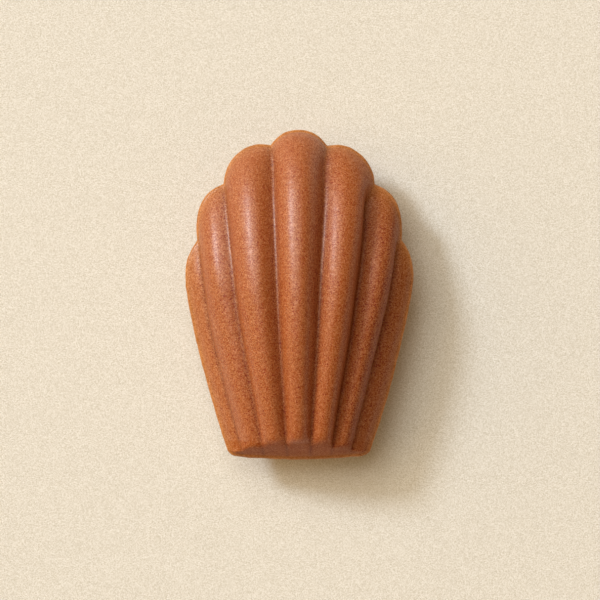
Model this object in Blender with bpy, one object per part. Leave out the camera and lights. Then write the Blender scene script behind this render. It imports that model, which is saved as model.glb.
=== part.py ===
"""A madeleine, modelled as one closed solid.

The cake lies shell side up, on the round hump of its underside. +Z is up, +Y points to the
wide scalloped end, and X runs across. The origin is under the middle of the cake, on the
surface that it rests on. All sizes are in metres.

The shell side is a low smooth dome with straight tapering sides and a round wide end. Seven
ribs fan out over it from the narrow end, which is cut off by a sloping flat face. A rounded
rim runs all the way round, and the underside swells from the rim to the hump.
"""

import math

import bmesh
import bpy

# Driving dimensions
LENGTH = 0.0750            # along Y, rim included
WIDTH = 0.0519             # along X, rim included
HEIGHT = 0.0270            # from the hump's flat spot to the top of the middle rib
RIM_HEIGHT = 0.43 * HEIGHT  # from the flat spot to the sharp upper edge of the rim
RIM_THICKNESS = 0.0018
RIM_BULGE = 0.0006         # how far the rounded rim stands out from the shell

# Ribs
RIBS = 7
RIB_RELIEF = 0.00235       # rise of a rib over the grooves beside it
RELIEF_FADE = 1.5          # power by which the ribs sink as the fan gets narrower
SIDE_RIB_SHARE = 0.50      # the outermost ribs are lower than the others by this factor
SIDE_RIB_START = 1.6       # rib coordinate where the ribs start to sink towards the side
SIDE_RIB_BLEND = 1.0       # rib coordinate over which they sink
CREST_POWER = 2.25         # power by which a rib falls away from its crest
TIP_CREST_POWER = 2.2
GROOVE_ROUNDING = 0.038    # hollow of a groove's bottom, in ribs
TIP_GROOVE_ROUNDING = 0.010
GROOVE_SHARPENS = 0.75     # share of the way along where the grooves start to get sharper
GROOVE_DEPTHS = (1.37, 1.28, 1.29)  # of each pair of grooves from the middle, against the relief
DEPTHS_EVEN_OUT = 0.80     # share of the way along where the grooves start to get equally deep

# The smooth dome under the ribs
FAN_HALF_WIDTH = 0.4585 * WIDTH   # of the straight sides, at the middle of the length
FAN_TAPER = 0.17           # how much the half-width grows for each metre towards the wide end
FAN_NARROWING = 2.0        # extra narrowing towards the narrow end, per metre squared
ROUND_END_HALF_WIDTH = 0.4762 * WIDTH
ROUND_END_CENTRE_Y = -0.002
ROUND_END_BLEND = 0.00080  # rounding where the straight side runs into the round end
FAN_ANGLE_WIDE = math.radians(24.7)    # turn round the dome from one rib to the next
FAN_ANGLE_NARROW = math.radians(20.5)
TOP_Y = -0.003             # where the dome is highest
NARROW_END_HEIGHT = 0.0074  # height of the dome over the rim at the narrow end
LENGTHWISE_BEND = 1.78     # power of the drop from the top to the narrow end
DOME_POWER = 1.05          # of the section across the dome: 0.5 is half an ellipse, 1 a parabola
ROUND_END_POWER = 0.68     # the same for the section along the dome, at its wide end

# The flat narrow end
END_FACE_SLOPE = 2.4
END_FACE_EDGE = 9.0        # sharpness of the edge between the end face and the ribs
END_SAG = 0.0007           # bow of the end's lower edge
END_CORNER = 0.0011        # rounding of the two corners, along Y
END_CORNER_START = 0.89    # share of the end's half-width that is free of the rounding
END_CORNER_POWER = 2.5

# The underside
HUMP_CENTRE_Y = 0.003
HUMP_HALF_WIDTH = 0.0208
HUMP_HALF_LENGTH = 0.0300
HUMP_ROUNDNESS = 1.15      # power of the hump's bell-shaped section
HUMP_FLAT = 0.0008         # height of the cap that is flattened off

# Finish
CRUST_COLOUR = (0.35, 0.088, 0.017, 1.0)
CRUST_ROUGHNESS = 0.5

# Mesh resolution
CELLS_PER_RIB = 6
RIM_CELLS = 4
BISECTION_STEPS = 40
TOLERANCE = 0.000001
TINY = 0.000000001         # keeps divisions and powers away from zero

GROOVE_EDGE = RIBS / 2     # rib coordinate of the sides: rib centres are whole numbers
ROUND_END_TIP_Y = LENGTH / 2 - RIM_BULGE - RIB_RELIEF
ROUND_END_HALF_LENGTH = ROUND_END_TIP_Y - ROUND_END_CENTRE_Y
NARROW_END_Y = -LENGTH / 2 + RIM_BULGE


def clamp(value):
    return min(max(value, 0.0), 1.0)


def smooth_step(value):
    t = clamp(value)
    return t * t * (3 - 2 * t)


def smaller_of(a, b, blend):
    """The smaller of two lengths, with the corner between them rounded."""
    share = clamp(0.5 + 0.5 * (b - a) / blend)
    return b * (1 - share) + a * share - blend * share * (1 - share)


def fan_half_width(y):
    """Half the width between the straight sides, which bend in towards the narrow end."""
    return FAN_HALF_WIDTH + FAN_TAPER * y - FAN_NARROWING * min(y, 0.0) ** 2


def dome_half_width(y):
    """Half the width of the dome: the straight sides, closed by half an ellipse round the wide
    end."""
    reach = max(y - ROUND_END_CENTRE_Y, 0.0) / ROUND_END_HALF_LENGTH
    round_end = ROUND_END_HALF_WIDTH * math.sqrt(max(1 - reach * reach, 0.0))
    return smaller_of(fan_half_width(y), round_end, ROUND_END_BLEND)


def relief(y):
    """Rise of a rib's crest over the dome, less where the fan is narrow."""
    return RIB_RELIEF * min(fan_half_width(y) / FAN_HALF_WIDTH, 1.0) ** RELIEF_FADE


DOME_HEIGHT = HEIGHT - RIM_HEIGHT - relief(TOP_Y)


def dome_height(y):
    """Height of the dome over the rim, on the centre line."""
    if y > TOP_Y:
        reach = (y - TOP_Y) / (ROUND_END_TIP_Y - TOP_Y)
        return DOME_HEIGHT * max(1 - reach * reach, 0.0) ** ROUND_END_POWER
    drop = ((TOP_Y - y) / (TOP_Y - NARROW_END_Y)) ** LENGTHWISE_BEND
    return DOME_HEIGHT + (NARROW_END_HEIGHT - DOME_HEIGHT) * drop


def column_x(rib, y):
    """Distance from the centre line of the line at a given rib coordinate."""
    wide = smooth_step((y - NARROW_END_Y) / -NARROW_END_Y)
    angle = FAN_ANGLE_NARROW + (FAN_ANGLE_WIDE - FAN_ANGLE_NARROW) * wide
    return fan_half_width(y) * math.sin(angle * rib) / math.sin(angle * GROOVE_EDGE)


def far_end_y(rib):
    """Where the line at a rib coordinate runs out over the edge of the round end."""
    near = NARROW_END_Y
    far = ROUND_END_TIP_Y
    for _ in range(BISECTION_STEPS):
        middle = (near + far) / 2
        if abs(column_x(rib, middle)) < dome_half_width(middle) + TOLERANCE:
            near = middle
        else:
            far = middle
    return near


def near_end_y(rib):
    """Where the line at a rib coordinate starts, on the lower edge of the narrow end."""
    across = abs(column_x(rib, NARROW_END_Y)) / fan_half_width(NARROW_END_Y)
    corner = clamp((across - END_CORNER_START) / (1 - END_CORNER_START))
    return NARROW_END_Y + END_SAG * across ** 2 + END_CORNER * corner ** END_CORNER_POWER


def rib_height(rib, y, run):
    """Height of the ribs over the dome. A rib falls away from its crest by a power of the
    distance, down to a groove whose bottom is slightly rounded. The side ribs have no outer
    groove."""
    side = smooth_step((abs(rib) - SIDE_RIB_START) / SIDE_RIB_BLEND)
    crest_height = relief(y) * (1 + (SIDE_RIB_SHARE - 1) * side)
    if abs(rib) > GROOVE_EDGE - 0.5:
        return crest_height
    across = abs(rib - round(rib))
    sharper = smooth_step((run - GROOVE_SHARPENS) / (1 - GROOVE_SHARPENS))
    rounding = GROOVE_ROUNDING + (TIP_GROOVE_ROUNDING - GROOVE_ROUNDING) * sharper
    power = CREST_POWER + (TIP_CREST_POWER - CREST_POWER) * sharper
    at_crest = math.hypot(0.5, rounding)
    fallen = (at_crest - math.hypot(0.5 - across, rounding)) / (at_crest - rounding)
    even = smooth_step((run - DEPTHS_EVEN_OUT) / (1 - DEPTHS_EVEN_OUT))
    depth = GROOVE_DEPTHS[min(int(abs(rib)), 2)]
    depth += (1 - depth) * even
    return crest_height * (1 - depth * max(fallen, 0.0) ** power)


def shell_point(rib, run):
    """A point of the shell side, from its rib coordinate and its share of the way along."""
    start = near_end_y(rib)
    spaced = (run + math.sin(run * math.pi / 2)) / 2
    y = start + (far_end_y(rib) - start) * spaced
    x = column_x(rib, y)
    half_width = dome_half_width(y)
    z = dome_height(y) * max(1 - (x / max(half_width, TINY)) ** 2, 0.0) ** DOME_POWER

    # The ribs rise square to the dome
    lean = (ROUND_END_HALF_WIDTH / ROUND_END_HALF_LENGTH) ** 2
    outward = (x,
               lean * max(y - ROUND_END_CENTRE_Y, 0.0),
               (ROUND_END_HALF_WIDTH / DOME_HEIGHT) ** 2 * z)
    rise = rib_height(rib, y, run) / math.hypot(*outward)
    x += outward[0] * rise
    y += outward[1] * rise
    z += outward[2] * rise

    # The sloping end face cuts the ribs off
    face = max(y - start, 0.0) * END_FACE_SLOPE
    if min(z, face) < TINY:
        return x, y, RIM_HEIGHT
    sharp = END_FACE_EDGE
    cut = (z ** -sharp + face ** -sharp) ** (-1 / sharp)
    return x, y, RIM_HEIGHT + cut


def rim_point(rib, run, down):
    """A point of the half-round rim outside the shell's edge, from its top to its bottom."""
    x, y, z = shell_point(rib, run)
    turn = math.pi * down
    grow = 1 + RIM_BULGE * math.sin(turn) / math.hypot(x, y)
    return x * grow, y * grow, z - RIM_THICKNESS * (1 - math.cos(turn)) / 2


def underside_point(across, along):
    """A point of the underside. Rings round its middle go from an oval to the rim's outline."""
    ring = max(abs(across), abs(along))
    if ring == 0:
        return 0.0, HUMP_CENTRE_Y, 0.0
    edge_x, edge_y, edge_z = rim_point(GROOVE_EDGE * across / ring, (along / ring + 1) / 2, 1.0)
    angle = math.atan2(edge_y - HUMP_CENTRE_Y, edge_x)
    oval = smooth_step(1 - ring)
    reach = math.hypot(edge_x, edge_y - HUMP_CENTRE_Y)
    oval_reach = 1 / math.hypot(math.cos(angle) / HUMP_HALF_WIDTH, math.sin(angle) / HUMP_HALF_LENGTH)
    distance = ring * (reach + (oval_reach - reach) * oval)
    x = distance * math.cos(angle)
    y = distance * math.sin(angle)
    swell = clamp(1 - math.hypot(x / HUMP_HALF_WIDTH, y / HUMP_HALF_LENGTH) ** 2) ** HUMP_ROUNDNESS
    z = edge_z - (edge_z + HUMP_FLAT) * swell
    return x, y + HUMP_CENTRE_Y, max(z, 0.0)


def crust_material():
    """Browned sponge crust: a warm reddish brown with a soft satin sheen."""
    material = bpy.data.materials.new("browned_crust")
    material.use_nodes = True
    shader = material.node_tree.nodes["Principled BSDF"]
    shader.inputs["Base Color"].default_value = CRUST_COLOUR
    shader.inputs["Roughness"].default_value = CRUST_ROUGHNESS
    shader.inputs["Metallic"].default_value = 0.0
    material.diffuse_color = CRUST_COLOUR
    return material


def divided_box():
    """A two-unit box whose faces are divided into cells: ribs by length by rim thickness."""
    mesh = bmesh.new()
    bmesh.ops.create_cube(mesh, size=2.0)
    cells = (RIBS * CELLS_PER_RIB, RIBS * CELLS_PER_RIB, RIM_CELLS)
    for axis, count in enumerate(cells):
        edges = [edge for edge in mesh.edges
                 if abs(edge.verts[0].co[axis] - edge.verts[1].co[axis]) > 1.0]
        bmesh.ops.subdivide_edges(mesh, edges=edges, cuts=count - 1, use_grid_fill=True)
    return mesh


def build_cake(collection):
    """Move the box's top onto the shell, its sides onto the rim and its base to the hump."""
    mesh = divided_box()
    for vertex in mesh.verts:
        across, along, up = vertex.co
        rib = GROOVE_EDGE * across
        run = (along + 1) / 2
        if up > 1 - TOLERANCE:
            vertex.co = shell_point(rib, run)
        elif up < -1 + TOLERANCE:
            vertex.co = underside_point(across, along)
        else:
            vertex.co = rim_point(rib, run, (1 - up) / 2)
    data = bpy.data.meshes.new("madeleine")
    mesh.to_mesh(data)
    mesh.free()
    data.shade_smooth()
    data.materials.append(crust_material())
    cake = bpy.data.objects.new("madeleine", data)
    collection.objects.link(cake)


def main():
    for old in list(bpy.data.objects):
        bpy.data.objects.remove(old)
    collection = bpy.data.collections.new("madeleine")
    bpy.context.scene.collection.children.link(collection)
    build_cake(collection)


main()
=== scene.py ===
"""A madeleine, lying shell side up on a sheet of cream paper.

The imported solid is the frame. It gives the cake's length, width and height and the surface that
it rests on. The dense mesh made here follows the same formulas as that solid, adds the relief of
the baked crust, and stands for it. All sizes are in metres, +Z is up, +Y points to the cake's
wide end, and X runs across.
"""

import math

import bpy
import numpy as np
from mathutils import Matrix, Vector


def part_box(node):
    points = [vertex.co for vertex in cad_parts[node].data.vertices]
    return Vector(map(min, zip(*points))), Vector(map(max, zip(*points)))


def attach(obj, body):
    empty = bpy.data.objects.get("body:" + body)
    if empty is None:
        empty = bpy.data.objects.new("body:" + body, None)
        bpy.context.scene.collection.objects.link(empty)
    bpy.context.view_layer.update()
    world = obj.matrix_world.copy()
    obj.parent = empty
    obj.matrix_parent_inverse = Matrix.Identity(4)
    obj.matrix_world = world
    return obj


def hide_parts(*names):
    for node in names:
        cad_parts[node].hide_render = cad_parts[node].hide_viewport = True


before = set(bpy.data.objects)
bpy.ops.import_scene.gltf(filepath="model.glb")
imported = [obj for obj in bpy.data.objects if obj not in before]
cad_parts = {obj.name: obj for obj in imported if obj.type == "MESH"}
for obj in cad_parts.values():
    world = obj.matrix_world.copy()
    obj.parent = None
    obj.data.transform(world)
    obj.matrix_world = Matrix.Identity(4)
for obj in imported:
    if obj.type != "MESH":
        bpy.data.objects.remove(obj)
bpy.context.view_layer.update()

# ---------------------------------------------------------------------------------------------
# The baked body. A madeleine is one piece of sponge, baked in a shell-shaped hollow of a tin and
# turned out. The shell side takes its ribs from the hollow, the rim forms at the hollow's edge,
# and the batter that rises over the edge bakes to the round hump that the cake lies on.
# ---------------------------------------------------------------------------------------------

lowest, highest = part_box("madeleine")
LENGTH = highest.y - lowest.y
WIDTH = highest.x - lowest.x
HEIGHT = highest.z - lowest.z
RIM_HEIGHT = 0.43 * HEIGHT          # of the upper edge of the rim, over the paper
RIM_THICKNESS = 0.0018
RIM_BULGE = 0.0006                  # how far the rounded rim stands out from the shell

RIBS = 7
GROOVE_EDGE = RIBS / 2              # rib coordinate of the sides: rib centres are whole numbers
RIB_RELIEF = 0.00235                # rise of a rib over the grooves beside it
RELIEF_FADE = 1.5                   # power by which the ribs sink as the fan gets narrower
SIDE_RIB_SHARE = 0.50               # height of the outermost ribs, as a share of the others'
SIDE_RIB_START = 1.6                # rib coordinate where the ribs start to get lower
SIDE_RIB_BLEND = 1.0                # number of ribs in which they do
CREST_POWER = 2.25                  # of the distance from the crest, by which a rib falls away

# Each of the six grooves, from -X to +X, has its own depth and place, and its left bank its own
# hollow. The eight shifts are those of the left side, the grooves and the right side.
GROOVE_DEPTHS = np.array([0.78, 1.02, 1.42, 1.47, 1.85, 1.80])              # as shares
LEFT_BANK_ROUNDINGS = np.array([0.03, 0.03, 0.06, 0.10, 0.15, 0.08])        # in ribs
GROOVE_SHIFTS = np.array([0.0, -0.08, 0.03, 0.02, -0.05, -0.10, -0.09, 0.0])    # in ribs
RIGHT_BANK_ROUNDING = 0.03          # hollow of the right banks, in ribs
TIP_CREST_POWER = 2.2               # the same at the tips of the lobes, where the grooves
TIP_GROOVE_ROUNDING = 0.01          # are sharp notches
GROOVE_SHARPENS = 0.82              # share of the way along where they start to sharpen
DEPTHS_EVEN_OUT = 0.87              # share of the way along where the depths start to get even
SHIFTS_EVEN_OUT = 0.35              # shares of the way along where the shifts start to fade,
SHIFTS_ARE_EVEN = 0.75              # and where they have

FAN_HALF_WIDTH = 0.4585 * WIDTH     # of the straight sides, at the middle of the length
FAN_TAPER = 0.17                    # how much it grows for each metre towards the wide end
FAN_NARROWING = 2.0                 # extra narrowing towards the narrow end, per metre squared
ROUND_END_HALF_WIDTH = 0.4762 * WIDTH
ROUND_END_CENTRE_Y = -0.002
ROUND_END_BLEND = 0.00080           # rounding where the straight side meets the round end
FAN_ANGLE_WIDE = math.radians(24.7)     # turn round the dome from one rib to the next
FAN_ANGLE_NARROW = math.radians(20.5)
TOP_Y = -0.003                      # where the dome is highest
NARROW_END_HEIGHT = 0.0074          # of the dome over the rim at the narrow end
LENGTHWISE_BEND = 1.78              # power of the drop from the top to the narrow end
DOME_POWER = 1.05                   # of the section across: 0.5 is half an ellipse, 1 a parabola
ROUND_END_POWER = 0.68              # the same for the section along the wide end
ROUND_END_TIP_Y = LENGTH / 2 - RIM_BULGE - RIB_RELIEF
ROUND_END_HALF_LENGTH = ROUND_END_TIP_Y - ROUND_END_CENTRE_Y
NARROW_END_Y = -LENGTH / 2 + RIM_BULGE

END_FACE_SLOPE = 2.4                # rise over run
END_FACE_EDGE = 9.0                 # sharpness of the edge between the end face and the ribs
END_SAG = 0.0007                    # bow of the end's lower edge
END_CORNER = 0.0011                 # rounding of the two corners, along Y
END_CORNER_START = 0.89             # share of the end's half-width that is free of it
END_CORNER_POWER = 2.5

HUMP_CENTRE_Y = 0.003
HUMP_HALF_WIDTH = 0.0208
HUMP_HALF_LENGTH = 0.0300
HUMP_ROUNDNESS = 1.15               # power of the hump's bell-shaped section
HUMP_FLAT = 0.0008                  # height of the cap that settles flat on the paper

BISECTION_STEPS = 45
TOLERANCE = 0.000001                # lets the outermost lines count as inside the outline
TINY = 0.000000001                  # keeps divisors above zero


def smooth_step(value):
    """0 below 0, 1 above 1, and three times the square less twice the cube in between."""
    t = np.clip(value, 0.0, 1.0)
    return t * t * (3 - 2 * t)


def fan_half_width(y):
    """Half the width between the straight sides: a straight taper that bends in towards -Y."""
    return FAN_HALF_WIDTH + FAN_TAPER * y - FAN_NARROWING * np.minimum(y, 0.0) ** 2


def dome_half_width(y):
    """The smaller of the straight sides and half an ellipse round the wide end, with a rounded
    corner between them."""
    reach = np.maximum(y - ROUND_END_CENTRE_Y, 0.0) / ROUND_END_HALF_LENGTH
    round_end = ROUND_END_HALF_WIDTH * np.sqrt(np.clip(1 - reach * reach, 0.0, 1.0))
    fan = fan_half_width(y)
    share = np.clip(0.5 + 0.5 * (round_end - fan) / ROUND_END_BLEND, 0.0, 1.0)
    return round_end * (1 - share) + fan * share - ROUND_END_BLEND * share * (1 - share)


def relief(y):
    """Rise of a rib's crest over the dome: a power of the fan's width, full where it is wide."""
    return RIB_RELIEF * np.minimum(fan_half_width(y) / FAN_HALF_WIDTH, 1.0) ** RELIEF_FADE


DOME_HEIGHT = HEIGHT - RIM_HEIGHT - float(relief(np.array(TOP_Y)))


def dome_height(y):
    """Height of the dome on the centre line. Towards the wide end it falls as a power of one
    less the square of the distance, and towards the narrow end as a power of the distance."""
    reach = np.maximum(y - TOP_Y, 0.0) / (ROUND_END_TIP_Y - TOP_Y)
    wide = DOME_HEIGHT * np.clip(1 - reach * reach, 0.0, 1.0) ** ROUND_END_POWER
    drop = (np.maximum(TOP_Y - y, 0.0) / (TOP_Y - NARROW_END_Y)) ** LENGTHWISE_BEND
    return np.where(y > TOP_Y, wide, DOME_HEIGHT + (NARROW_END_HEIGHT - DOME_HEIGHT) * drop)


def column_x(rib, y):
    """Distance of a rib coordinate's line from the centre line: the sine of its turn round the
    dome, scaled so that the outermost line lies on the straight side."""
    wide = smooth_step((y - NARROW_END_Y) / -NARROW_END_Y)
    angle = FAN_ANGLE_NARROW + (FAN_ANGLE_WIDE - FAN_ANGLE_NARROW) * wide
    return fan_half_width(y) * np.sin(angle * rib) / np.sin(angle * GROOVE_EDGE)


def far_end_y(rib):
    """Where each line runs out over the edge of the round end, found by halving the interval."""
    near = np.full_like(rib, NARROW_END_Y)
    far = np.full_like(rib, ROUND_END_TIP_Y)
    for _ in range(BISECTION_STEPS):
        middle = (near + far) / 2
        inside = np.abs(column_x(rib, middle)) < dome_half_width(middle) + TOLERANCE
        near = np.where(inside, middle, near)
        far = np.where(inside, far, middle)
    return near


def near_end_y(rib):
    """Where each line starts on the narrow end: a shallow bow with two rounded corners."""
    across = np.abs(column_x(rib, np.full_like(rib, NARROW_END_Y)))
    across = across / fan_half_width(NARROW_END_Y)
    corner = np.clip((across - END_CORNER_START) / (1 - END_CORNER_START), 0.0, 1.0)
    return NARROW_END_Y + END_SAG * across ** 2 + END_CORNER * corner ** END_CORNER_POWER


def groove_shift(rib, run):
    """How far off its even place each line lies: in proportion between the shifts of the two
    grooves beside it, and fading to nothing towards the wide end."""
    shift = np.interp(rib, np.arange(RIBS + 1) - GROOVE_EDGE, GROOVE_SHIFTS)
    fading = (run - SHIFTS_EVEN_OUT) / (SHIFTS_ARE_EVEN - SHIFTS_EVEN_OUT)
    return shift * (1 - smooth_step(fading))


def rib_height(rib, y, run):
    """Height of the ribs over the dome. From crest to groove a rib falls away by a power of the
    distance from the crest. The distance from the groove is the root of its square and a small
    square more, which hollows the groove's banks. Each groove has its own depth and its left
    bank its own hollow, and the side ribs have no outer groove."""
    out = np.abs(rib)
    side = smooth_step((out - SIDE_RIB_START) / SIDE_RIB_BLEND)
    crest_height = relief(y) * (1 + (SIDE_RIB_SHARE - 1) * side)
    sharper = smooth_step((run - GROOVE_SHARPENS) / (1 - GROOVE_SHARPENS))
    groove = np.clip(np.floor(rib) + RIBS // 2, 0, RIBS - 2).astype(int)
    rounding = np.where(rib > np.round(rib), LEFT_BANK_ROUNDINGS[groove], RIGHT_BANK_ROUNDING)
    rounding = rounding * (1 - sharper) + TIP_GROOVE_ROUNDING * sharper
    power = CREST_POWER + (TIP_CREST_POWER - CREST_POWER) * sharper
    across = np.abs(rib - np.round(rib))
    at_crest = np.hypot(0.5, rounding)
    drop = ((at_crest - np.hypot(0.5 - across, rounding)) / (at_crest - rounding)) ** power
    depth = GROOVE_DEPTHS[groove]
    even = smooth_step((run - DEPTHS_EVEN_OUT) / (1 - DEPTHS_EVEN_OUT))
    drop *= depth + (1 - depth) * even
    return crest_height * (1 - np.where(out > GROOVE_EDGE - 0.5, 0.0, drop))


def shell_surface(rib, run):
    """The shell side. Across the dome the height is a power of one less the square of the
    distance. The ribs raise it square to the dome, and the sloping end face cuts it off with a
    slightly rounded edge."""
    start = near_end_y(rib)
    spaced = (run + np.sin(run * math.pi / 2)) / 2
    y = start + (far_end_y(rib) - start) * spaced
    x = column_x(rib + groove_shift(rib, run), y)
    half_width = np.maximum(dome_half_width(y), TINY)
    z = dome_height(y) * np.clip(1 - (x / half_width) ** 2, 0.0, 1.0) ** DOME_POWER

    lean = (ROUND_END_HALF_WIDTH / ROUND_END_HALF_LENGTH) ** 2
    outward = np.stack([x, lean * np.maximum(y - ROUND_END_CENTRE_Y, 0.0),
                        (ROUND_END_HALF_WIDTH / DOME_HEIGHT) ** 2 * z], axis=-1)
    outward /= np.maximum(np.linalg.norm(outward, axis=-1, keepdims=True), TINY)
    points = np.stack([x, y, z], axis=-1) + outward * rib_height(rib, y, run)[..., None]

    face = np.maximum(points[..., 1] - start, TINY) * END_FACE_SLOPE
    height = np.maximum(points[..., 2], TINY)
    cut = (height ** -END_FACE_EDGE + face ** -END_FACE_EDGE) ** (-1 / END_FACE_EDGE)
    cut = np.where((points[..., 2] < TINY) | (points[..., 1] - start < TINY), 0.0, cut)
    points[..., 2] = RIM_HEIGHT + cut
    return points


def rim_surface(edge, down):
    """The rim: half an ellipse outwards and down from the shell's edge."""
    turn = math.pi * down
    grow = 1 + RIM_BULGE * np.sin(turn) / np.hypot(edge[..., 0], edge[..., 1])
    drop = RIM_THICKNESS * (1 - np.cos(turn)) / 2
    return np.stack([edge[..., 0] * grow, edge[..., 1] * grow, edge[..., 2] - drop], axis=-1)


def underside_surface(edge, ring):
    """The underside: rings that go from the rim's outline to an oval round the hump's middle,
    lowered by a bell of one less the square of the distance, and flat where it touches down."""
    angle = np.arctan2(edge[..., 1] - HUMP_CENTRE_Y, edge[..., 0])
    reach = np.hypot(edge[..., 0], edge[..., 1] - HUMP_CENTRE_Y)
    oval_reach = 1 / np.hypot(np.cos(angle) / HUMP_HALF_WIDTH, np.sin(angle) / HUMP_HALF_LENGTH)
    distance = ring * (reach + (oval_reach - reach) * smooth_step(1 - ring))
    x = distance * np.cos(angle)
    y = distance * np.sin(angle)
    inside = np.clip(1 - (x / HUMP_HALF_WIDTH) ** 2 - (y / HUMP_HALF_LENGTH) ** 2, 0.0, 1.0)
    z = edge[..., 2] - (edge[..., 2] + HUMP_FLAT) * inside ** HUMP_ROUNDNESS
    return np.stack([x, y + HUMP_CENTRE_Y, np.maximum(z, 0.0)], axis=-1)


# The closed skin is a grid over the shell side, rings down the rim, and a grid over the
# underside whose squares of cells become rings.
CELLS_PER_RIB = 24
CELLS_ALONG = 240
RIM_CELLS = 9

cells_across = RIBS * CELLS_PER_RIB
across = np.linspace(-1, 1, cells_across + 1)[:, None] * np.ones(CELLS_ALONG + 1)
along = np.linspace(-1, 1, CELLS_ALONG + 1)[None, :] * np.ones((cells_across + 1, 1))
shell = shell_surface(GROOVE_EDGE * across, (along + 1) / 2)

ring = np.maximum(np.abs(across), np.abs(along))
ring_run = np.where(ring > 0, along / np.maximum(ring, TINY), 0.0)
ring_rib = np.where(ring > 0, across / np.maximum(ring, TINY), 0.0)
shell_edge = shell_surface(GROOVE_EDGE * ring_rib, (ring_run + 1) / 2)
underside = underside_surface(rim_surface(shell_edge, 1.0), ring)

grid = np.arange(shell.shape[0] * shell.shape[1]).reshape(shell.shape[:2])
border = np.concatenate([grid[:-1, 0], grid[-1, :-1], grid[:0:-1, -1], grid[0, :0:-1]])
rim_rings = [rim_surface(shell.reshape(-1, 3)[border], step / RIM_CELLS)
             for step in range(1, RIM_CELLS)]
points = np.concatenate([shell.reshape(-1, 3)] + rim_rings + [underside.reshape(-1, 3)])


def grid_faces(indices):
    """One face of four corners for each cell of a grid of vertex numbers."""
    corners = [indices[:-1, :-1], indices[1:, :-1], indices[1:, 1:], indices[:-1, 1:]]
    return np.stack(corners, axis=-1).reshape(-1, 4)


under_grid = grid + grid.size + (RIM_CELLS - 1) * border.size
under_border = border + grid.size + (RIM_CELLS - 1) * border.size
ring_numbers = grid.size + np.arange((RIM_CELLS - 1) * border.size).reshape(RIM_CELLS - 1, -1)
rim_grid = np.concatenate([border[None], ring_numbers, under_border[None]])
rim_grid = np.concatenate([rim_grid, rim_grid[:, :1]], axis=1)
faces = np.concatenate([grid_faces(grid), grid_faces(rim_grid), grid_faces(under_grid)[:, ::-1]])

cake_mesh = bpy.data.meshes.new("madeleine_crust")
cake_mesh.from_pydata(points.tolist(), [], faces.tolist())
cake_mesh.shade_smooth()
cake = bpy.data.objects.new("madeleine_crust", cake_mesh)
bpy.context.scene.collection.objects.link(cake)

# ---------------------------------------------------------------------------------------------
# The baked surface. Against the buttered tin the crust sets smooth, with a fine pebbled grain, a
# few pin holes and a slight waviness, and keeps a thin film of butter. The rim and the underside
# bake in the open, more golden and more porous.
# ---------------------------------------------------------------------------------------------

SWELLS = ((0.0110, 0.00010), (0.0050, 0.00005))      # size and height of the slow waviness
SHELL_GRAINS = ((0.00110, 0.000022), (0.00060, 0.000022))
OPEN_GRAINS = ((0.00160, 0.000060), (0.00080, 0.000035))
SHELL_PORE_SPACING = 0.0021
SHELL_PORE_RADIUS = 0.00042
SHELL_PORE_DEPTH = 0.00007
OPEN_PORE_SPACING = 0.0017
OPEN_PORE_RADIUS = 0.00052
OPEN_PORE_DEPTH = 0.00018
PORE_PLACES = (0.15, 0.85)                            # of the centres in their cells
PORE_SIZES = (0.5, 1.0)                               # shares of the largest radius
OPEN_CRUST_OVER_EDGE = 0.0006       # how far the open crust reaches up over the rim's edge
OPEN_CRUST_BLEND = 0.0012
LATTICE_CORNERS = 64                                  # after which the random lattice repeats
REST_MARGIN = 0.0010                # height over the paper below which the relief fades out


def lattice_noise(places, cell, seed):
    """Smooth random values from -1 to 1. Every corner of a cubic lattice has a random value, and
    a point blends the eight corners round it by a smooth step along each axis."""
    corners = np.random.default_rng(seed).uniform(-1, 1, (LATTICE_CORNERS,) * 3)
    whole = np.floor(places / cell).astype(int)
    share = smooth_step(places / cell - whole)
    total = np.zeros(len(places))
    for corner in np.ndindex(2, 2, 2):
        weight = np.prod(np.where(corner, share, 1 - share), axis=-1)
        x, y, z = ((whole + corner) % LATTICE_CORNERS).T
        total += weight * corners[x, y, z]
    return total


def pore_depth(places, spacing, radius, seed):
    """Round pits, 1 deep at the middle and 0 outside. Every cell of a cubic lattice has one at a
    random place and of a random size, and a point takes the deepest pit that reaches it."""
    random = np.random.default_rng(seed)
    centres = random.uniform(*PORE_PLACES, (LATTICE_CORNERS,) * 3 + (3,))
    radii = radius * random.uniform(*PORE_SIZES, (LATTICE_CORNERS,) * 3)
    whole = np.floor(places / spacing).astype(int)
    deepest = np.zeros(len(places))
    for step in np.ndindex(3, 3, 3):
        cell = whole + step - 1
        x, y, z = (cell % LATTICE_CORNERS).T
        away = np.linalg.norm(places - (cell + centres[x, y, z]) * spacing, axis=-1)
        deepest = np.maximum(deepest, 1 - smooth_step(away / radii[x, y, z]))
    return deepest


def summed_noise(places, layers, seed):
    """The sum of several sizes of lattice noise, each by its own height."""
    return sum(height * lattice_noise(places, size, seed + order)
               for order, (size, height) in enumerate(layers))


normals = np.empty(len(points) * 3, np.float32)
cake_mesh.vertices.foreach_get("normal", normals)
normals = normals.reshape(-1, 3)

under_edge = RIM_HEIGHT + OPEN_CRUST_OVER_EDGE - points[:, 2]
open_crust = smooth_step(under_edge / OPEN_CRUST_BLEND)
shell_pores = pore_depth(points, SHELL_PORE_SPACING, SHELL_PORE_RADIUS, seed=21)
shell_relief = summed_noise(points, SHELL_GRAINS, seed=11) - SHELL_PORE_DEPTH * shell_pores
open_pores = pore_depth(points, OPEN_PORE_SPACING, OPEN_PORE_RADIUS, seed=41)
open_relief = summed_noise(points, OPEN_GRAINS, seed=31) - OPEN_PORE_DEPTH * open_pores
surface_relief = shell_relief + (open_relief - shell_relief) * open_crust
lift = summed_noise(points, SWELLS, seed=51) + surface_relief
lift *= smooth_step(points[:, 2] / REST_MARGIN)
relief_points = points + normals * lift[:, None]
cake_mesh.vertices.foreach_set("co", relief_points.astype(np.float32).ravel())
cake_mesh.update()

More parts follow.
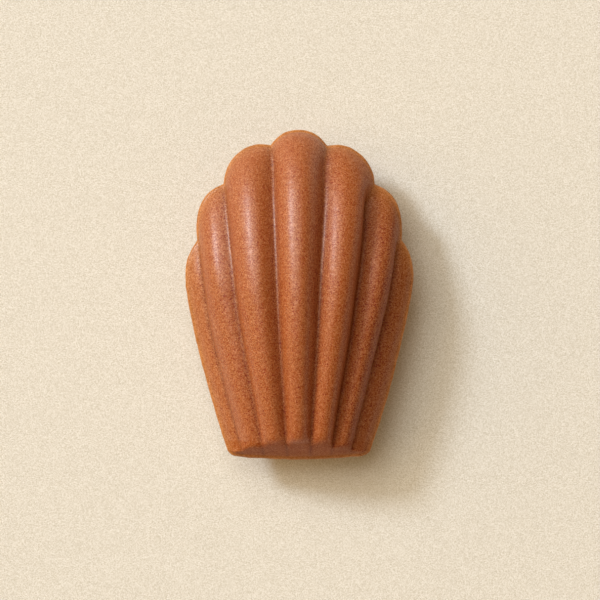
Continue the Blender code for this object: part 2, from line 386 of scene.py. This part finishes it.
# Painted shade, gold and butter, as values at the mesh's points for the crust's material
GROOVE_SHADE_BAND = 0.085                 # half-width of the band of painted shade along a groove, in ribs
SIDE_PAINTED_SHADE = 0.72                # painted shade on the right, towards the outer ribs, which face away from the light
SIDE_SHADE_START = 0.9           # rib coordinates where it starts and is full
SIDE_SHADE_FULL = 2.2
SIDE_FREE_OF_BAND = 0.45            # the sides have no groove, so no band this near, in ribs
# painted shade on the sloping end face, which faces away from the light
END_PAINTED_SHADE = 0.15
END_FACE_REACH = 0.0042             # how far the end face reaches in from the narrow end
END_FACE_BLEND = 0.0008
BUTTER_ON_OPEN_CRUST = 0.3          # share of the butter film on the rim and underside
BUTTER_LOST_AT_SIDE = 0.76          # on the right, where the crust is drier
DRY_START = 0.0                     # rib coordinates where it starts and is full
DRY_FULL = 1.6
GOLD_AT_EDGE = 0.45                 # share of gold at the upper edge of the rim
GOLD_FADE = 0.0009                  # height over the rim in which the crust turns from golden
GOLD_LOW = 0.10                     # the low parts of the shell stay a little more golden
GOLD_LOW_FADE = 0.005
RIM_GOLD_SHARE = 0.35               # share of the rim's turn in which it gets fully golden

shell_count = grid.size
shell_rib = GROOVE_EDGE * across.ravel()
from_groove = 0.5 - np.abs(shell_rib - np.round(shell_rib))
between_ribs = np.abs(shell_rib) < GROOVE_EDGE - SIDE_FREE_OF_BAND
# painted shade: a band along each groove, more on the right side and a little on the end face
painted_shading = np.where(between_ribs, np.exp(-(from_groove / GROOVE_SHADE_BAND) ** 2), 0.0)
side = (shell_rib - SIDE_SHADE_START) / (SIDE_SHADE_FULL - SIDE_SHADE_START)
painted_shading = np.maximum(painted_shading, SIDE_PAINTED_SHADE * smooth_step(side))
from_end = shell[..., 1].ravel() - NARROW_END_Y
end_face = smooth_step((END_FACE_REACH - from_end) / END_FACE_BLEND)
painted_shading = np.maximum(painted_shading, END_PAINTED_SHADE * end_face)
painted_shade = np.zeros(len(points))
painted_shade[:shell_count] = painted_shading
buttered = np.full(len(points), BUTTER_ON_OPEN_CRUST)
dry = smooth_step((shell_rib - DRY_START) / (DRY_FULL - DRY_START))
buttered[:shell_count] = (1 - end_face) * (1 - BUTTER_LOST_AT_SIDE * dry)
over_rim = np.maximum(points[:, 2] - RIM_HEIGHT, 0.0)
golden = GOLD_AT_EDGE * np.exp(-over_rim / GOLD_FADE)
golden += GOLD_LOW * np.exp(-over_rim / GOLD_LOW_FADE)
golden[shell_count:] = 1.0
rim_turn = np.arange(1, RIM_CELLS)[:, None] / RIM_CELLS
gold_over_rim = GOLD_AT_EDGE + GOLD_LOW
golden[ring_numbers] = gold_over_rim + (1 - gold_over_rim) * smooth_step(rim_turn / RIM_GOLD_SHARE)
crust_values = {"painted_shade": painted_shade, "golden": golden, "buttered": buttered}
for name, values in crust_values.items():
    layer = cake_mesh.attributes.new(name, "FLOAT", "POINT")
    layer.data.foreach_set("value", values.astype(np.float32))


def add_node(tree, kind, inputs=(), **settings):
    """Add a node of a kind, set its properties, then set or link its inputs."""
    made = tree.nodes.new(kind)
    for name, value in settings.items():
        setattr(made, name, value)
    for name, value in dict(inputs).items():
        if isinstance(value, bpy.types.NodeSocket):
            tree.links.new(value, made.inputs[name])
        else:
            made.inputs[name].default_value = value
    return made


def map_value(tree, value, source, target, clamp=True):
    """A value taken in proportion from one range to another."""
    return add_node(tree, "ShaderNodeMapRange", {
        "Value": value, "From Min": source[0], "From Max": source[1],
        "To Min": target[0], "To Max": target[1]}, clamp=clamp).outputs["Result"]


def colour_mix(tree, share, first, second):
    """Two colours blended by a share from 0, the first, to 1, the second."""
    mix = add_node(tree, "ShaderNodeMix", data_type="RGBA")
    for socket, value in ((mix.inputs[0], share), (mix.inputs[6], first), (mix.inputs[7], second)):
        if isinstance(value, bpy.types.NodeSocket):
            tree.links.new(value, socket)
        else:
            socket.default_value = value
    return mix.outputs[2]


NOISE_RANGE = (0.25, 0.75)          # in which most of a noise texture's values lie
EVEN_RANGE = (-1.0, 1.0)
DARKEST = (0.001,) * 3


def speckle_group():
    """Fine grain for a baked or a fibrous surface: small cells with a random value each and soft
    noise, each from about -1 to 1, added up, and the shift of colour that the sum makes."""
    tree = bpy.data.node_groups.new("speckle", "ShaderNodeTree")
    face = tree.interface
    face.new_socket("Position", in_out="INPUT", socket_type="NodeSocketVector")
    face.new_socket("Grains per metre", in_out="INPUT", socket_type="NodeSocketFloat")
    face.new_socket("Colour", in_out="INPUT", socket_type="NodeSocketColor")
    face.new_socket("Shift", in_out="INPUT", socket_type="NodeSocketColor")
    face.new_socket("Speckle", in_out="OUTPUT", socket_type="NodeSocketFloat")
    face.new_socket("Colour", in_out="OUTPUT", socket_type="NodeSocketColor")
    given = add_node(tree, "NodeGroupInput").outputs
    cells = add_node(tree, "ShaderNodeTexVoronoi", {
        "Vector": given["Position"], "Scale": given["Grains per metre"]})
    values = add_node(tree, "ShaderNodeSeparateColor", {"Color": cells.outputs["Color"]})
    cell_value = map_value(tree, values.outputs["Red"], (0.0, 1.0), EVEN_RANGE)
    noise = add_node(tree, "ShaderNodeTexNoise", {
        "Vector": given["Position"], "Scale": given["Grains per metre"], "Detail": 0.0})
    soft_value = map_value(tree, noise.outputs["Fac"], NOISE_RANGE, EVEN_RANGE, clamp=False)
    total = add_node(tree, "ShaderNodeMath", {0: cell_value, 1: soft_value}, operation="ADD")
    shift = add_node(tree, "ShaderNodeVectorMath", {
        0: given["Shift"], "Scale": total.outputs[0]}, operation="SCALE")
    shifted = add_node(tree, "ShaderNodeVectorMath", {
        0: given["Colour"], 1: shift.outputs[0]}, operation="ADD")
    positive = add_node(tree, "ShaderNodeVectorMath", {
        0: shifted.outputs[0], 1: DARKEST}, operation="MAXIMUM")
    add_node(tree, "NodeGroupOutput", {
        "Speckle": total.outputs[0], "Colour": positive.outputs[0]})
    return tree


BROWN = (0.345, 0.087, 0.0163, 1.0)
# painted shade: the darker crust colour laid along the grooves, on the right side and on the end
# face
PAINTED_SHADE_BROWN = (0.225, 0.051, 0.0083, 1.0)
GOLD = (0.520, 0.220, 0.060, 1.0)
TOASTED_GOLD = (0.380, 0.140, 0.036, 1.0)
PATCHES_PER_METRE = 260
PATCH_ROUGHNESS = 0.55
GOLD_PATCH_NOISE = (0.40, 0.75)     # noise values over which the brown crust turns golden,
GOLD_PATCH_SHARE = (0.0, 0.15)      # and by how much
TOASTED_NOISE = (0.35, 0.65)        # the same for the golden crust and toasted gold
TOASTED_SHARE = (0.0, 0.7)
CRUST_GRAINS_PER_METRE = 4200
CRUST_SHIFT = (0.074, 0.044, 0.026, 1.0)
CRUST_BUMP = 0.000022
SPECKLE_RANGE = (-1.5, 1.5)         # over which the grain changes the sheen
CRUST_ROUGHNESS = (0.66, 0.54)
CRUST_SPECULAR = 0.25
BUTTER_FILM = (0.50, 1.0)           # share of the film from the darkest grains to the lightest
BUTTER_ROUGHNESS = 0.41
BUTTER_IOR = 1.57

speckle = speckle_group()
crust = bpy.data.materials.new("browned_crust")
crust.use_nodes = True
tree = crust.node_tree
crust_shader = tree.nodes["Principled BSDF"]
position = add_node(tree, "ShaderNodeTexCoord").outputs["Object"]
# the share of painted shade, read from the mesh's points
painted_shade_share = add_node(tree, "ShaderNodeAttribute", attribute_name="painted_shade").outputs["Fac"]
gold_share = add_node(tree, "ShaderNodeAttribute", attribute_name="golden").outputs["Fac"]
patches = add_node(tree, "ShaderNodeTexNoise", {
    "Vector": position, "Scale": PATCHES_PER_METRE, "Detail": 3.0, "Roughness": PATCH_ROUGHNESS})
patch_gold = map_value(tree, patches.outputs["Fac"], GOLD_PATCH_NOISE, GOLD_PATCH_SHARE)
toasting = map_value(tree, patches.outputs["Fac"], TOASTED_NOISE, TOASTED_SHARE)
gold_sum = add_node(tree, "ShaderNodeMath", {0: gold_share, 1: patch_gold},
                    operation="ADD", use_clamp=True)
# the crust colour, darkened by the painted shade
rib_colour = colour_mix(tree, painted_shade_share, BROWN, PAINTED_SHADE_BROWN)
open_colour = colour_mix(tree, toasting, GOLD, TOASTED_GOLD)
baked_colour = colour_mix(tree, gold_sum.outputs[0], rib_colour, open_colour)
grain = add_node(tree, "ShaderNodeGroup", node_tree=speckle)
tree.links.new(position, grain.inputs["Position"])
tree.links.new(baked_colour, grain.inputs["Colour"])
grain.inputs["Grains per metre"].default_value = CRUST_GRAINS_PER_METRE
grain.inputs["Shift"].default_value = CRUST_SHIFT
gloss = map_value(tree, grain.outputs["Speckle"], SPECKLE_RANGE, CRUST_ROUGHNESS)
film_share = add_node(tree, "ShaderNodeAttribute", attribute_name="buttered").outputs["Fac"]
grain_film = map_value(tree, grain.outputs["Speckle"], SPECKLE_RANGE, BUTTER_FILM)
butter = add_node(tree, "ShaderNodeMath", {0: grain_film, 1: film_share}, operation="MULTIPLY")
bump = add_node(tree, "ShaderNodeBump", {
    "Height": grain.outputs["Speckle"], "Distance": CRUST_BUMP, "Strength": 1.0})
tree.links.new(grain.outputs["Colour"], crust_shader.inputs["Base Color"])
tree.links.new(gloss, crust_shader.inputs["Roughness"])
tree.links.new(bump.outputs["Normal"], crust_shader.inputs["Normal"])
tree.links.new(butter.outputs[0], crust_shader.inputs["Coat Weight"])
crust_shader.inputs["Specular IOR Level"].default_value = CRUST_SPECULAR
crust_shader.inputs["Coat Roughness"].default_value = BUTTER_ROUGHNESS
crust_shader.inputs["Coat IOR"].default_value = BUTTER_IOR
cake_mesh.materials.append(crust)

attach(cake, "root")
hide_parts("madeleine")

# ---------------------------------------------------------------------------------------------
# The paper that the cake lies on: a stiff matt cream sheet with a fine tooth. It is flat under
# the cake and curves up all round, far away. It is staging and isn't a piece of the cake.
# ---------------------------------------------------------------------------------------------

FLAT_REACH = 1.25                   # radius of the flat part of the paper
INNER_RINGS = np.array([0.15, 0.4, 0.7])    # rings of points on it, as shares of its radius
SWEEP_RADIUS = 0.26                 # of the curve in which it rises at its edge
SWEEP_STEPS = 24
ROUND_STEPS = 96

# A flat disc, then a quarter of a circle upwards, turned round the vertical axis
sweep = np.linspace(0, math.pi / 2, SWEEP_STEPS + 1)
radius = np.concatenate([FLAT_REACH * INNER_RINGS, FLAT_REACH + SWEEP_RADIUS * np.sin(sweep)])
height = np.concatenate([0 * INNER_RINGS, SWEEP_RADIUS * (1 - np.cos(sweep))])
turn = np.linspace(0, 2 * math.pi, ROUND_STEPS, endpoint=False)[None, :]
paper_points = np.stack([radius[:, None] * np.cos(turn), radius[:, None] * np.sin(turn),
                         height[:, None] * np.ones_like(turn)], axis=-1).reshape(-1, 3)
paper_grid = np.arange(len(paper_points)).reshape(len(radius), ROUND_STEPS)
paper_grid = np.concatenate([paper_grid, paper_grid[:, :1]], axis=1)
floor_mesh = bpy.data.meshes.new("paper")
floor_mesh.from_pydata(paper_points.tolist(), [],
                       [paper_grid[0, :-1].tolist()] + grid_faces(paper_grid).tolist())
floor_mesh.shade_smooth()
floor = bpy.data.objects.new("paper", floor_mesh)
bpy.context.scene.collection.objects.link(floor)

PAPER = (0.707, 0.695, 0.650, 1.0)
PAPER_SHIFT = (0.084, 0.090, 0.104, 1.0)
PAPER_GRAINS_PER_METRE = 4200
PAPER_BUMP = 0.000006
PAPER_ROUGHNESS = 0.95
PAPER_SPECULAR = 0.1

paper = bpy.data.materials.new("cream_paper")
paper.use_nodes = True
tree = paper.node_tree
paper_shader = tree.nodes["Principled BSDF"]
position = add_node(tree, "ShaderNodeTexCoord").outputs["Object"]
grain = add_node(tree, "ShaderNodeGroup", node_tree=speckle)
tree.links.new(position, grain.inputs["Position"])
grain.inputs["Grains per metre"].default_value = PAPER_GRAINS_PER_METRE
grain.inputs["Colour"].default_value = PAPER
grain.inputs["Shift"].default_value = PAPER_SHIFT
bump = add_node(tree, "ShaderNodeBump", {
    "Height": grain.outputs["Speckle"], "Distance": PAPER_BUMP, "Strength": 1.0})
tree.links.new(grain.outputs["Colour"], paper_shader.inputs["Base Color"])
tree.links.new(bump.outputs["Normal"], paper_shader.inputs["Normal"])
paper_shader.inputs["Roughness"].default_value = PAPER_ROUGHNESS
paper_shader.inputs["Specular IOR Level"].default_value = PAPER_SPECULAR
floor_mesh.materials.append(paper)

# ---------------------------------------------------------------------------------------------
# The light. A round lamp on the left, towards the wide end, casts the cake's shadow. A wide one
# overhead lights the crests, and two warm ones and a dim warm room soften the dark sides.
# ---------------------------------------------------------------------------------------------

LIGHT_DISTANCE = 5.0


def add_softbox(name, direction, spread, strength, colour, shape):
    """A soft light that faces the cake from a direction. Its width is a share of its distance,
    and its strength is the light it gives a flat surface under it."""
    lamp = bpy.data.lights.new(name, "AREA")
    lamp.shape = shape
    lamp.size = spread * LIGHT_DISTANCE
    towards = Vector(direction).normalized()
    lamp.energy = strength * math.pi * LIGHT_DISTANCE ** 2 / towards.z
    lamp.color = colour
    holder = bpy.data.objects.new(name, lamp)
    holder.location = towards * LIGHT_DISTANCE
    holder.rotation_euler = towards.to_track_quat("Z", "Y").to_euler()
    bpy.context.scene.collection.objects.link(holder)


KEY_COLOUR = (0.90, 1.0, 1.12)
TOP_COLOUR = (1.0, 0.93, 0.80)
FILL_COLOUR = (1.0, 0.69, 0.32)
add_softbox("key", direction=(-1.05, 0.79, 1.0), spread=0.20, strength=1.06,
            colour=KEY_COLOUR, shape="DISK")
add_softbox("top", direction=(-0.34, 0.50, 1.0), spread=0.78, strength=1.80,
            colour=TOP_COLOUR, shape="SQUARE")
add_softbox("front", direction=(0.4, -0.8, 1.0), spread=1.0, strength=0.28,
            colour=FILL_COLOUR, shape="SQUARE")
add_softbox("left", direction=(-2.4, 0.6, 1.0), spread=1.2, strength=0.97,
            colour=FILL_COLOUR, shape="SQUARE")

ROOM_COLOUR = (1.0, 0.60, 0.26, 1.0)
ROOM_STRENGTH = 0.13
world = bpy.data.worlds.new("room")
world.use_nodes = True
room = world.node_tree.nodes["Background"]
room.inputs["Color"].default_value = ROOM_COLOUR
room.inputs["Strength"].default_value = ROOM_STRENGTH
bpy.context.scene.world = world

# ---------------------------------------------------------------------------------------------
# The camera. It looks straight down from about half a metre over the cake, through a long lens,
# so the parts at different heights keep nearly the same scale.
# ---------------------------------------------------------------------------------------------

VIEW_WIDTH = 0.1364                 # of the picture, at the height of the rim
LENS = 135                          # in millimetres, as is the width of the sensor
SENSOR_WIDTH = 36
CLOSEST = 0.01
CAMERA_X = 0.0002
CAMERA_Y = -0.00125

camera_data = bpy.data.cameras.new("camera")
camera_data.lens = LENS
camera_data.sensor_width = SENSOR_WIDTH
camera_data.clip_start = CLOSEST
camera = bpy.data.objects.new("camera", camera_data)
camera.location = (CAMERA_X, CAMERA_Y, RIM_HEIGHT + VIEW_WIDTH * LENS / SENSOR_WIDTH)
bpy.context.scene.collection.objects.link(camera)
bpy.context.scene.camera = camera
bpy.context.scene.view_settings.view_transform = "Standard"
